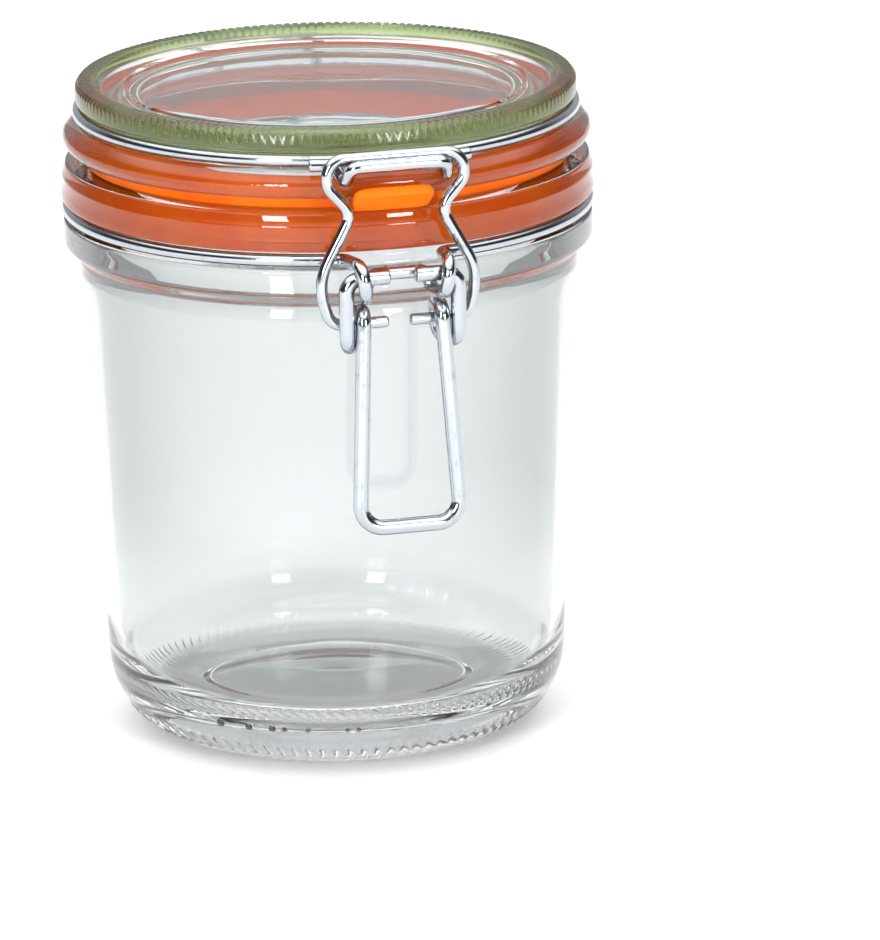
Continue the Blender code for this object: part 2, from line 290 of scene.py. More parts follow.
def turned(profile: Array, steps: int, relief: Relief = no_relief) -> Surface:
    """Turn a profile round the jar's axis.

    The point at profile parameter s and angle a is (r(s) cos a, r(s) sin a, z(s)), moved by the relief there
    along the profile's normal, on the right of its direction. An end on the axis becomes a single pole.

    Args:
        profile: rows of (radius, height), from axis to axis, or a closed outline off the axis.
        steps: number of divisions round the axis.
        relief: distance to move each point along the normal, as a function of radius, height and angle.

    Returns:
        The closed surface.
    """
    on_axis = profile[0, 0] < TINY and profile[-1, 0] < TINY
    ring = profile[1:-1] if on_axis else profile
    ahead, behind = np.roll(ring, -1, axis=0), np.roll(ring, 1, axis=0)
    if on_axis:
        ahead[-1], behind[0] = profile[-1], profile[0]
    along = ahead - behind
    normal = np.stack([along[:, 1], -along[:, 0]], axis=1) / np.linalg.norm(along, axis=1)[:, None]
    angle = np.arange(steps)[None, :] * (2 * math.pi / steps)
    radius, height = ring[:, :1], ring[:, 1:]
    lift = relief(radius, height, angle)
    radius = radius + normal[:, :1] * lift
    height = height + normal[:, 1:] * lift
    points = np.stack([radius * np.cos(angle), radius * np.sin(angle), height], axis=-1).reshape(-1, 3)
    quads = grid_faces(len(ring), steps, not on_axis, True)
    triangles = np.zeros((0, 3), int)
    if on_axis:
        triangles = end_fans(len(points), steps)
        points = np.concatenate([points, [[0.0, 0.0, profile[0, 1]], [0.0, 0.0, profile[-1, 1]]]])
    return Surface(points, quads, triangles).outward()


def carried_frames(path: Array, closed: bool) -> tuple[Array, Array]:
    """Two directions across a path at each point, carried along it so that they never twist.

    Each step turns the last direction out of the new tangent. Round a closed path, the twist left over at the
    end is shared out evenly.

    Args:
        path: points, one row each.
        closed: whether the last point joins the first.

    Returns:
        Two arrays of unit vectors, at right angles to each other and to the path.
    """
    if closed:
        along = np.roll(path, -1, axis=0) - np.roll(path, 1, axis=0)
    else:
        along = np.gradient(path, axis=0)
    along /= np.linalg.norm(along, axis=1)[:, None]
    across = np.zeros_like(along)
    start = np.eye(3)[np.argmin(np.abs(along[0]))]
    across[0] = start - along[0] * (start @ along[0])
    across[0] /= np.linalg.norm(across[0])
    for index in range(1, len(path)):
        carried = across[index - 1] - along[index] * (across[index - 1] @ along[index])
        across[index] = carried / np.linalg.norm(carried)
    other = np.cross(along, across)
    if closed:
        last = across[-1] - along[0] * (across[-1] @ along[0])
        twist = math.atan2(float(last @ other[0]), float(last @ across[0]))
        turn = (-twist * np.arange(len(path)) / len(path))[:, None]
        across, other = (across * np.cos(turn) + other * np.sin(turn),
                         other * np.cos(turn) - across * np.sin(turn))
    return across, other


def wire(path: Array, radius: float, closed: bool = False, sides: int = 20,
         chamfer: float = 0.35) -> Surface:
    """Carry a circle along a path.

    The point at path parameter t and angle a is p(t) + r(t) * (u(t) cos a + v(t) sin a), with u and v across
    the path. Near an open end r shrinks by the chamfer, and a hub closes the end.

    Args:
        path: the wire's centre line.
        radius: radius of the section.
        closed: whether the wire is a ring.
        sides: number of points round the section.
        chamfer: size of the bevel at a cut end.

    Returns:
        The closed surface.
    """
    path = spaced(path, 1.2, closed)
    if not closed:
        start = (path[1] - path[0]) / np.linalg.norm(path[1] - path[0])
        end = (path[-2] - path[-1]) / np.linalg.norm(path[-2] - path[-1])
        inner = [path[0] + start * chamfer, path[0] + start * (chamfer + 0.15)]
        outer = [path[-1] + end * (chamfer + 0.15), path[-1] + end * chamfer]
        path = np.concatenate([path[:1], inner, path[1:-1], outer, path[-1:]])
    radii = np.full(len(path), radius)
    if not closed:
        radii[[0, -1]] = radius - chamfer
    across, other = carried_frames(path, closed)
    angle = (np.arange(sides) * (2 * math.pi / sides))[None, :, None]
    reach = radii[:, None, None]
    points = path[:, None] + reach * (across[:, None] * np.cos(angle) + other[:, None] * np.sin(angle))
    points = points.reshape(-1, 3)
    quads = grid_faces(len(path), sides, closed, True)
    triangles = np.zeros((0, 3), int)
    if not closed:
        triangles = end_fans(len(points), sides)
        points = np.concatenate([points, path[:1], path[-1:]])
    return Surface(points, quads, triangles).outward()


def mirrored_route(side: Side, stops: Sequence[Stop], step: float = 7.0) -> Array:
    """A wire's path through stops at negative X, and back through their mirror images across X = 0.

    Args:
        side: the side of the jar.
        stops: X, distance out from the axis, height and bend radius of each; the last one is at X = 0.
        step: largest angle between neighbouring points of a bend, in degrees.

    Returns:
        The path's points, one row each.
    """
    half = rounded([((x, side.value * reach, height), bend) for x, reach, height, bend in stops], step)
    return np.concatenate([half[:-1], (half * (-1.0, 1.0, 1.0))[::-1]])


def level_arc(radius: float, height: float, start: float, end: float, count: int = 90) -> Array:
    """Points on a level circle from angle start to angle end, in degrees from +X, without its ends."""
    angle = np.radians(np.linspace(start, end, count)[1:-1])
    return np.stack([radius * np.cos(angle), radius * np.sin(angle), np.full_like(angle, height)], axis=1)


# Shader expressions


class Value:
    """A number that varies over a surface: a node's output socket, with the usual operators."""

    def __init__(self, shader: "Shader", socket: NodeSocket) -> None:
        """Keep the socket and the shader that it belongs to."""
        self.shader = shader
        self.socket = socket

    def _math(self, operation: str, first: object, second: object = None) -> "Value":
        """A Math node on one or two values or numbers."""
        inputs = {0: first} if second is None else {0: first, 1: second}
        return self.shader.node("ShaderNodeMath", {"operation": operation}, inputs)

    def __add__(self, other: object) -> "Value":
        """Sum."""
        return self._math("ADD", self, other)

    __radd__ = __add__

    def __sub__(self, other: object) -> "Value":
        """Difference."""
        return self._math("SUBTRACT", self, other)

    def __rsub__(self, other: object) -> "Value":
        """Difference, the value on the right."""
        return self._math("SUBTRACT", other, self)

    def __mul__(self, other: object) -> "Value":
        """Product."""
        return self._math("MULTIPLY", self, other)

    __rmul__ = __mul__

    def __truediv__(self, other: object) -> "Value":
        """Quotient."""
        return self._math("DIVIDE", self, other)

    def __rtruediv__(self, other: object) -> "Value":
        """Quotient, the value below the line."""
        return self._math("DIVIDE", other, self)

    def __pow__(self, other: object) -> "Value":
        """Power."""
        return self._math("POWER", self, other)

    def above(self, other: object) -> "Value":
        """The larger of the two."""
        return self._math("MAXIMUM", self, other)

    def ramp(self, low: float, high: float) -> "Value":
        """A smooth step from 0 at low to 1 at high."""
        settings = {"interpolation_type": "SMOOTHSTEP"}
        return self.shader.node("ShaderNodeMapRange", settings, {0: self, 1: low, 2: high, 3: 0.0, 4: 1.0})


class Shader:
    """The nodes of one material or world."""

    def __init__(self, tree: NodeTree) -> None:
        """Empty the tree and keep it."""
        self.tree = tree
        tree.nodes.clear()

    def node(self, kind: str, settings: dict[str, object], inputs: dict, output: int | str = 0) -> Value:
        """Add a node.

        Args:
            kind: the node's type.
            settings: attributes that are set before the sockets.
            inputs: values or links, by socket name or number.
            output: name or number of the output that is wanted.

        Returns:
            That output, or an empty value for a node that ends a tree.
        """
        made = self.tree.nodes.new(kind)
        for name, setting in settings.items():
            setattr(made, name, setting)
        for key, content in inputs.items():
            if isinstance(content, Value):
                self.tree.links.new(content.socket, made.inputs[key])
            else:
                made.inputs[key].default_value = content
        return Value(self, made.outputs[output] if len(made.outputs) else None)

    def mix(self, share: object, first: object, second: object) -> Value:
        """A colour between two others."""
        settings = {"data_type": "RGBA", "clamp_factor": True}
        return self.node("ShaderNodeMix", settings, {0: share, 6: first, 7: second}, 2)

    def position(self) -> tuple[Value, ...]:
        """The X, Y and Z of the point on the piece, in metres."""
        return self.parts(self.node("ShaderNodeTexCoord", {}, {}, "Object"))

    def parts(self, spot: Value) -> tuple[Value, ...]:
        """The X, Y and Z of a vector."""
        split = self.tree.nodes.new("ShaderNodeSeparateXYZ")
        self.tree.links.new(spot.socket, split.inputs[0])
        return tuple(Value(self, output) for output in split.outputs)

    def noise(self, scale: float, detail: float, roughness: float = 0.5) -> Value:
        """Noise between 0 and 1 on Object coordinates."""
        spot = self.node("ShaderNodeTexCoord", {}, {}, "Object")
        inputs = {"Vector": spot, "Scale": scale, "Detail": detail, "Roughness": roughness}
        return self.node("ShaderNodeTexNoise", {}, inputs, 0)

    def bump(self, height: Value, distance: float) -> Value:
        """A normal from a height."""
        return self.node("ShaderNodeBump", {}, {"Strength": 1.0, "Distance": distance, "Height": height})


def rgba(colour: Colour) -> tuple[float, float, float, float]:
    """A colour with full alpha."""
    return (*colour, 1.0)


def new_shader(name: str) -> tuple[Material, Shader]:
    """A new material and its empty node tree."""
    material = bpy.data.materials.new(name)
    material.use_nodes = True
    return material, Shader(material.node_tree)


def finish_material(material: Material, shader: Shader, surface: Value, colour: Colour) -> Material:
    """Link a surface to the output and give the material its flat colour."""
    shader.node("ShaderNodeOutputMaterial", {}, {"Surface": surface})
    material.diffuse_color = rgba(colour)
    return material


@dataclass(frozen=True)
class ClearGlass:
    """Soda-lime glass: grey-green in the walls and olive in the lid's rim, with painted light and shade in
    its tint.

    Each share rises from 0 to 1 between two radii or two heights, in millimetres. Light has further to go
    across a wall seen at a slant, so the tone deepens there, and the deepening is pushed further as painted
    shade at the walls' edges. Painted light makes the flat base and the panel clearer and the walls' foot
    lighter, and the rim's olive is darkened with painted shade.
    """

    name: str
    tint: Colour = (0.745, 0.765, 0.768)
    # Partly the glass's tint along a slanted path, partly painted shade at the walls' edges.
    slant_tint_and_edge_shade: Colour = (0.53, 0.555, 0.55)
    # Painted light: the walls' foot is made clearer, which lifts the shade under the jar.
    foot_painted_light_tint: Colour = (0.86, 0.885, 0.89)
    # Painted light: the flat base and the lid's panel are made nearly clear.
    flat_painted_light_tint: Colour = (0.985, 0.99, 0.985)
    # The rim's olive: the colour of its thick glass, darkened by painted shade.
    rim_olive_and_painted_shade_tint: Colour = (0.20, 0.30, 0.07)
    flat_painted_light_radius: Span = (52.0, 47.5)
    base_height: Span = (14.0, 11.0)
    foot_painted_light_height: Span = (55.0, 15.0)
    panel_height: Span = (139.0, 141.0)
    rim_radius: Span = (50.2, 51.5)
    rim_height: Span = (142.8, 144.2)
    rim_roughness: float = 0.20
    gloss: float = 0.35
    ior: float = 1.5
    wave_depth: float = 0.02
    wave_scale: float = 55.0
    slant: Span = (0.0, 0.7)
    stipple_radius: Span = (57.2, 58.0)
    stipple_foot: Span = (134.2, 134.8)
    stipple_top: Span = (137.8, 137.0)
    stipple_depth: float = 0.10
    stipple_scale: float = 650.0

    def material(self) -> Material:
        """The material; its bump is the slow waviness of pressed glass, with a stipple on the lid's edge."""
        material, shader = new_shader(self.name)
        x, y, z = shader.position()
        radius = (x * x + y * y) ** 0.5 / MM
        height = z / MM
        rim = radius.ramp(*self.rim_radius) * height.ramp(*self.rim_height)
        # Painted light: nearly clear glass in the flat base and the lid's panel, so the floor seen through
        # them is brighter.
        flat = radius.ramp(*self.flat_painted_light_radius) * height.ramp(*self.base_height).above(
            height.ramp(*self.panel_height))
        facing = shader.node("ShaderNodeLayerWeight", {}, {"Blend": 0.5}, "Facing")
        # Darker where a wall is seen at a slant: partly the longer path through the glass, partly painted
        # shade at the edges.
        wall = shader.mix(facing.ramp(*self.slant), rgba(self.tint), rgba(self.slant_tint_and_edge_shade))
        # Painted light: the walls grow clearer towards the foot, to brighten the shade under the jar.
        wall = shader.mix(height.ramp(*self.foot_painted_light_height), wall, rgba(self.foot_painted_light_tint))
        # The rim's olive tint: its thick glass's own colour, partly painted shade.
        tint = shader.mix(rim, shader.mix(flat, wall, rgba(self.flat_painted_light_tint)), rgba(self.rim_olive_and_painted_shade_tint))
        stipple = radius.ramp(*self.stipple_radius) * height.ramp(*self.stipple_foot)
        stipple = stipple * height.ramp(*self.stipple_top)
        pebbles = shader.noise(self.stipple_scale, 2.0) * stipple * self.stipple_depth
        waves = shader.bump(shader.noise(self.wave_scale, 1.0) * self.wave_depth + pebbles, MM)
        surface = shader.node("ShaderNodeBsdfPrincipled", {}, {
            "Base Color": tint, "Roughness": rim * self.rim_roughness, "IOR": self.ior,
            "Specular IOR Level": self.gloss, "Transmission Weight": 1.0, "Normal": waves})
        return finish_material(material, shader, surface, self.tint)


@dataclass(frozen=True)
class OrangeRubber:
    """Smooth orange rubber, a little cloudy."""

    name: str = "orange_rubber"
    colour: Colour = (1.0, 0.165, 0.002)
    deep: Colour = (0.95, 0.115, 0.001)
    roughness: float = 0.42
    gloss: float = 0.12
    mottle_scale: float = 90.0
    grain_scale: float = 900.0
    grain_depth: float = 0.02 * MM

    def material(self) -> Material:
        """The material; a slow noise mottles its colour."""
        material, shader = new_shader(self.name)
        mottle = shader.noise(self.mottle_scale, 3.0).ramp(0.35, 0.75)
        colour = shader.mix(mottle, rgba(self.colour), rgba(self.deep))
        grain = shader.bump(shader.noise(self.grain_scale, 2.0), self.grain_depth)
        surface = shader.node("ShaderNodeBsdfPrincipled", {}, {
            "Base Color": colour, "Roughness": self.roughness, "Specular IOR Level": self.gloss,
            "Normal": grain})
        return finish_material(material, shader, surface, self.colour)


@dataclass(frozen=True)
class SteelWire:
    """Bright drawn steel wire."""

    name: str = "bright_steel_wire"
    colour: Colour = (0.47, 0.50, 0.535)
    dull: Colour = (0.25, 0.27, 0.30)
    dull_share: float = 0.6
    roughness: float = 0.12
    dull_roughness: float = 0.16
    mark_scale: float = 420.0
    dent_scale: float = 700.0
    dent_depth: float = 0.02 * MM

    def material(self) -> Material:
        """The material; noise gives handling marks in colour and gloss."""
        material, shader = new_shader(self.name)
        marks = shader.noise(self.mark_scale, 4.0, 0.65).ramp(0.52, 0.78)
        colour = shader.mix(marks * self.dull_share, rgba(self.colour), rgba(self.dull))
        dents = shader.bump(shader.noise(self.dent_scale, 3.0), self.dent_depth)
        surface = shader.node("ShaderNodeBsdfPrincipled", {}, {
            "Base Color": colour, "Metallic": 1.0, "Roughness": marks * self.dull_roughness + self.roughness,
            "Normal": dents})
        return finish_material(material, shader, surface, self.colour)


# The sub-assemblies


def dress(piece: Object, body: Body, node: str) -> Object:
    """Let a piece ride on its body in place of a CAD node.

    Args:
        piece: the finished piece.
        body: the body that carries it.
        node: the CAD node that it stands for.

    Returns:
        The same piece.
    """
    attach(piece, body.value)
    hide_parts(node)
    log.info("%s: %d faces, rides on %s", piece.name, len(piece.data.polygons), body.value)
    return piece


@dataclass
class GlassJar:
    """The jar: a slightly tapered pot with a thick round heel, a collar, a wire groove and a neck bead."""

    foot_radius: float = 51.7
    top_radius: float = 56.05
    heel: float = 17.5
    wall: float = 3.6
    bearing_inner_radius: float = 31.0
    punt: float = 4.0
    floor: float = 10.5
    inner_heel: float = 12.0
    mouth_radius: float = 50.0
    bead_top_radius: float = 58.6
    ridge_drop: float = 3.0
    bead_foot: float = 122.4
    groove_radius: float = 56.3
    collar_top: float = 118.6
    collar_foot: float = 112.5
    collar_radius: float = 59.35
    steps: int = 576
    ticks: int = 96
    tick_depth: float = 0.4
    tick_slant: float = 1.3

    def profile(self) -> Array:
        """The section from the inside bottom over the mouth to the middle of the base.

        The heel is a quarter circle: at turn t its point is (R - h (1 - cos t), h (1 - sin t)), R the foot's
        radius and h the heel's.
        """
        _, high = node_box("jar_glass")
        bead, mouth = float(high[0]), float(high[2])
        ridge = mouth - self.ridge_drop
        taper = (self.top_radius - self.foot_radius) / self.collar_foot
        inner_foot = self.foot_radius + taper * self.floor - self.wall
        turn = np.radians(np.arange(2.0, 89.0, 2.5))
        heel_radius = self.foot_radius - self.heel * (1 - np.cos(turn))
        heel_height = self.heel * (1 - np.sin(turn))
        shoulder = self.collar_foot - 6.0
        inner_top = self.foot_radius + taper * shoulder - self.wall
        corners = [
            ((0.0, self.floor), 0.0),
            ((inner_foot, self.floor - 0.4), self.inner_heel),
            ((inner_top, shoulder), 14.0),
            ((self.mouth_radius, shoulder + 9.0), 14.0),
            ((self.mouth_radius, mouth), 1.2),
            ((self.bead_top_radius, mouth), 0.9),
            ((self.bead_top_radius + 0.50, ridge + 0.35), 0.0),
            ((self.bead_top_radius + 0.82, ridge + 0.05), 0.0),
            ((self.bead_top_radius + 0.62, ridge - 0.35), 0.0),
            ((bead, ridge - 3.6), 3.0),
            ((bead, self.bead_foot), 1.0),
            ((self.groove_radius, self.bead_foot - 0.1), 0.6),
            ((self.groove_radius, self.collar_top), 0.6),
            ((self.collar_radius - 0.1, self.collar_top - 0.2), 0.9),
            ((self.collar_radius, self.collar_foot), 2.2),
            ((self.top_radius, self.collar_foot - 2.2), 2.0),
            *((point, 0.0) for point in zip(heel_radius, heel_height)),
            ((self.bearing_inner_radius, 0.0), 0.8),
            ((self.bearing_inner_radius - 1.6, self.punt - 0.8), 1.4),
            ((0.0, self.punt), 0.0),
        ]
        return spaced(rounded(corners, 13.0), 6.0)

    def relief(self, radius: Array, height: Array, angle: Array) -> Array:
        """Two rows of short slanted grooves cut into the outside of the heel, fading out at both ends."""
        inner = rise(radius, 40.8, 41.4) * rise(radius, 43.4, 42.8)
        outer = rise(radius, 44.2, 44.8) * rise(radius, 48.4, 47.6)
        outside = height < self.floor - 2.5
        groove = np.clip(np.cos(self.ticks * angle + self.tick_slant * radius), 0.0, 1.0) ** 2
        return -self.tick_depth * (0.6 * inner + outer) * outside * groove

    def build(self, glass: Material) -> Object:
        """Make the jar and let it stand for its CAD node."""
        surface = turned(self.profile(), self.steps, self.relief)
        return dress(surface.to_object("jar_clear", glass), Body.JAR, "jar_glass")


@dataclass
class HeelDots:
    """The row of small round mould marks low on the front of the jar."""

    height: float = 11.5
    radius: float = 50.55
    bearings: tuple[float, ...] = (-45.2, -37.2, -30.9, -27.7, -21.7, -11.7, -8.9)
    sizes: tuple[float, ...] = (1.0, 0.9, 0.85, 0.6, 0.6, 0.55, 0.55)
    lift: float = 0.42
    slope: float = 20.0
    sides: int = 20

    def lens(self, bearing: float, size: float) -> Surface:
        """One dot: a ball of radius 1, stretched to the dot's size across and to its lift out of the glass.

        Args:
            bearing: degrees round the axis from the front.
            size: radius of the dot.

        Returns:
            The closed lens in its place on the heel.
        """
        tilt = np.linspace(0.0, math.pi, self.sides // 2 + 1)
        ball = turned(np.stack([np.sin(tilt), np.cos(tilt)], axis=1), self.sides)
        turn, slope = math.radians(bearing), math.radians(self.slope)
        out = np.array([math.sin(turn), -math.cos(turn), 0.0])
        level = np.array([math.cos(turn), math.sin(turn), 0.0])
        normal = out * math.cos(slope) - (0.0, 0.0, math.sin(slope))
        axes = np.stack([size * level, size * np.cross(normal, level), self.lift * normal])
        centre = out * self.radius + (0.0, 0.0, self.height)
        return Surface(ball.points @ axes + centre, ball.quads, ball.triangles).outward()

    def build(self, glass: Material) -> Object:
        """Put every dot on the jar as one mesh."""
        surface = reduce(Surface.joined, map(self.lens, self.bearings, self.sizes))
        return dress(surface.to_object("heel_dots", glass), Body.JAR, "jar_glass")


@dataclass
class GlassLid:
    """The lid: a sunk panel, a rim with a ring of small notches, a wire groove, a flange and a plug."""

    groove_radius: float = 53.6
    flange_height: float = 6.45
    rim_foot: float = 144.2
    rim_radius: float = 55.9
    panel: float = 147.0
    panel_radius: float = 50.2
    ring_radius: float = 45.0
    plug_radius: float = 48.9
    under: float = 141.2
    land_inner_radius: float = 50.9
    steps: int = 720
    notches: int = 180
    notch_depth: float = 0.38

    def profile(self) -> Array:
        """The section from the middle of the panel over the rim and down to the middle of the underside."""
        low, high = node_box("lid_glass")
        flange, top, plug_foot = float(high[0]), float(high[2]), float(low[2])
        seal_top = float(node_box("jar_glass")[1][2]) + 2.6
        land = seal_top + 0.35
        flange_top = land + self.flange_height
        corners = [
            ((0.0, self.panel), 0.0),
            ((self.ring_radius - 0.9, self.panel), 0.3),
            ((self.ring_radius, self.panel + 0.45), 0.3),
            ((self.ring_radius + 0.9, self.panel), 0.3),
            ((self.panel_radius, self.panel + 0.1), 0.8),
            ((self.panel_radius + 1.3, top - 0.1), 0.8),
            ((self.rim_radius - 0.9, top), 0.3),
            ((self.rim_radius, top - 1.1), 0.6),
            ((self.rim_radius, self.rim_foot), 0.7),
            ((self.groove_radius, self.rim_foot - 0.3), 0.7),
            ((self.groove_radius, flange_top), 0.6),
            ((flange - 2.6, flange_top - 0.2), 3.0),
            ((flange, flange_top - 2.6), 2.2),
            ((flange - 0.15, land + 2.0), 1.6),
            ((flange - 1.3, land), 0.9),
            ((self.land_inner_radius, land), 0.5),
            ((self.plug_radius, land - 0.9), 0.3),
            ((self.plug_radius, plug_foot), 0.9),
            ((self.plug_radius - 2.8, plug_foot), 0.9),
            ((self.plug_radius - 4.2, self.under - 0.3), 4.0),
            ((0.0, self.under), 0.0),
        ]
        return spaced(rounded(corners, 14.0), 4.0)

    def relief(self, radius: Array, height: Array, angle: Array) -> Array:
        """Small notches in the rim's outer top edge; this profile's normal points into the glass."""
        band = rise(radius, 54.4, 54.8) * (height > self.panel + 0.7)
        notch = np.clip(np.cos(self.notches * angle), 0.0, 1.0)
        return self.notch_depth * band * notch

    def build(self, glass: Material) -> Object:
        """Make the lid and let it stand for its CAD node."""
        surface = turned(self.profile(), self.steps, self.relief)
        return dress(surface.to_object("lid_clear", glass), Body.JAR, "lid_glass")


@dataclass
class SealRing:
    """The flat rubber ring and its pull tab."""

    lip_inner_radius: float = 49.2
    bore_radius: float = 50.0
    outer_radius: float = 54.6
    thickness: float = 2.3
    foot: float = 131.3
    gap: float = 0.3
    orange_reflection_rib_radius: float = 52.0
    orange_reflection_rib_top: float = 136.3
    tab_root_width: float = 15.0
    tab_width: float = 18.2
    tab_offset: float = -1.0
    tab_root: float = 52.0
    tab_bend: float = 59.3
    tab_tip: float = 64.6
    tab_tip_height: float = 136.9
    tab_flare: float = 4.0
    flare_length: float = 1.3
    corner: float = 2.4
    tab_sides: int = 64
    squareness: float = 5.0
    press: float = 0.04

    def ring(self) -> Surface:
        """The section turned round the axis: a band under the lid's flange and a lip down the mouth.

        The rubber is pressed against the mouth, its top and the flange, so it reaches into each by a hair. A
        thin rib inside the flange is a painted reflection: it stands for the orange that its thick glass
        picks up from the rubber.
        """
        lip_foot = float(node_box("seal")[0][2])
        foot, top, press = self.foot, self.foot + self.thickness, self.gap + self.press
        bore = self.bore_radius + self.press
        corners = [
            ((self.lip_inner_radius, lip_foot + 3.0), 0.0),
            ((self.lip_inner_radius, top - 0.7), 0.0),
            ((self.lip_inner_radius + 1.5, top + press), 0.0),
            # The rib: a painted reflection of the rubber's orange, standing inside the lid's flange.
            ((self.orange_reflection_rib_radius - 0.8, top + press), 0.0),
            ((self.orange_reflection_rib_radius - 0.5, self.orange_reflection_rib_top), 0.0),
            ((self.orange_reflection_rib_radius, self.orange_reflection_rib_top), 0.0),
            ((self.orange_reflection_rib_radius, top + press), 0.0),
            ((self.outer_radius - 0.5, top + press), 0.0),
            ((self.outer_radius - 0.3, top), 0.0),
            ((self.outer_radius, top), 0.3),
            ((self.outer_radius, foot), 0.3),
            ((self.outer_radius - 0.3, foot), 0.0),
            ((self.outer_radius - 0.5, foot - press), 0.0),
            ((bore + 1.25, foot - press), 0.0),
            ((bore, foot - press - 1.25), 0.0),
            ((bore, lip_foot), 0.2),
            ((self.lip_inner_radius, lip_foot), 0.2),
            ((self.lip_inner_radius, lip_foot + 3.0), 0.0),
        ]
        return turned(spaced(rounded(corners, 15.0)[:-1], 1.6, closed=True), 360)

    def tab(self) -> Surface:
        """The tab: a flat rounded section carried out and up, narrowing along a circle at the tip's corners.

        The section at length s is a superellipse, as wide as w(s) and as thick as the ring.
        With d the distance to the tip, each side of w is drawn in by c - sqrt(c^2 - (c - d)^2) where d < c.
        Past the band w falls off by 2 f exp(-e / l), with e the distance out from it.
        """
        middle = self.foot + self.thickness / 2
        path = rounded([((self.tab_root, middle), 0.0), ((self.tab_bend, middle), 3.0),
                        ((self.tab_tip, self.tab_tip_height), 0.0)], 6.0)
        tip = path[-1]
        line = spaced(path, 0.35)
        line = line[np.linalg.norm(tip - line, axis=1) > 0.3]
        line = np.concatenate([line, tip - (tip - line[-1:]) * np.array([[0.6], [0.3], [0.1], [0.0]])])
        from_tip = np.linalg.norm(tip - line, axis=1)
        past_corner = np.clip(self.corner - from_tip, 0.0, None)
        inset = self.corner - np.sqrt(np.maximum(self.corner ** 2 - past_corner ** 2, 0.0))
        from_band = np.clip(line[:, 0] - self.outer_radius, 0.0, None)
        flare = self.tab_flare * np.exp(-from_band / self.flare_length)
        share = (line[:, 0] - self.tab_root) / (self.tab_tip - self.tab_root)
        width = self.tab_root_width + (self.tab_width - self.tab_root_width) * share
        half_width = width / 2 - inset * 0.98 + flare
        edge = np.clip(from_tip / 0.35, 0.0, 1.0)
        half_thick = (self.thickness / 2 - 0.02) * np.sqrt(1 - (1 - edge) ** 2 * 0.8)
        along = np.gradient(line, axis=0)
        along /= np.linalg.norm(along, axis=1)[:, None]
        angle = np.arange(self.tab_sides)[None, :] * (2 * math.pi / self.tab_sides)
        power = 2 / self.squareness
        wide = np.sign(np.cos(angle)) * np.abs(np.cos(angle)) ** power * half_width[:, None] + self.tab_offset
        thick = np.sign(np.sin(angle)) * np.abs(np.sin(angle)) ** power * half_thick[:, None]
        reach = line[:, :1] - along[:, 1:] * thick
        height = line[:, 1:] + along[:, :1] * thick
        points = np.stack([wide, -reach, height], axis=-1).reshape(-1, 3)
        hubs = [[self.tab_offset, -end[0], end[1]] for end in (line[0], line[-1])]
        return Surface(np.concatenate([points, hubs]), grid_faces(len(line), self.tab_sides, False, True),
                       end_fans(len(points), self.tab_sides)).outward()

    def build(self, rubber: Material) -> Object:
        """Make ring and tab as one mesh and let it stand for the CAD node."""
        surface = self.ring().joined(self.tab())
        return dress(surface.to_object("seal_rubber", rubber), Body.JAR, "seal")


@dataclass
class NeckWire:
    """The wire in the neck groove, with an eyelet pair and a crossbar at the front and at the back."""

    radius: float = 1.45
    ring_radius: float = 58.2
    ring_height: float = 120.5
    ring_end: float = 14.0
    eyelet_front: float = 68.9
    eyelet_back: float = 61.5
    eyelet_top: float = 121.5
    eyelet_foot: float = 113.8
    crossbar: float = 117.8

    def eyelets(self, side: Side) -> Array:
        """From the ring's end out, once round the pivot, along the crossbar and back the same way."""
        reach = math.sqrt(self.ring_radius ** 2 - self.ring_end ** 2)
        bend = (self.eyelet_front - self.eyelet_back) / 2 - 0.2
        foot_bend = (self.crossbar - self.eyelet_foot) / 2 - 0.05
        return mirrored_route(side, [
            (-self.ring_end, reach, self.ring_height, 0.0),
            (-10.8, 57.6, self.ring_height + 0.1, 2.6),
            (-9.7, self.eyelet_front, self.eyelet_top, bend),
            (-8.9, self.eyelet_front, self.eyelet_foot, bend),
            (-7.3, self.eyelet_back, self.eyelet_foot + 0.05, foot_bend),
            (-6.4, self.eyelet_back, self.crossbar, foot_bend),
            (0.0, self.eyelet_back, self.crossbar, 0.0),
        ], 9.0)

    def build(self, steel: Material) -> Object:
        """Make the closed wire and let it stand for its CAD node."""
        end = math.degrees(math.acos(self.ring_end / self.ring_radius))
        right = level_arc(self.ring_radius, self.ring_height, -end, end)
        left = level_arc(self.ring_radius, self.ring_height, 180.0 - end, 180.0 + end)
        loop = [self.eyelets(Side.FRONT), right, self.eyelets(Side.BACK)[::-1], left]
        surface = wire(np.concatenate(loop), self.radius, closed=True)
        return dress(surface.to_object("neck_wire", steel), Body.JAR, "neck_ring")


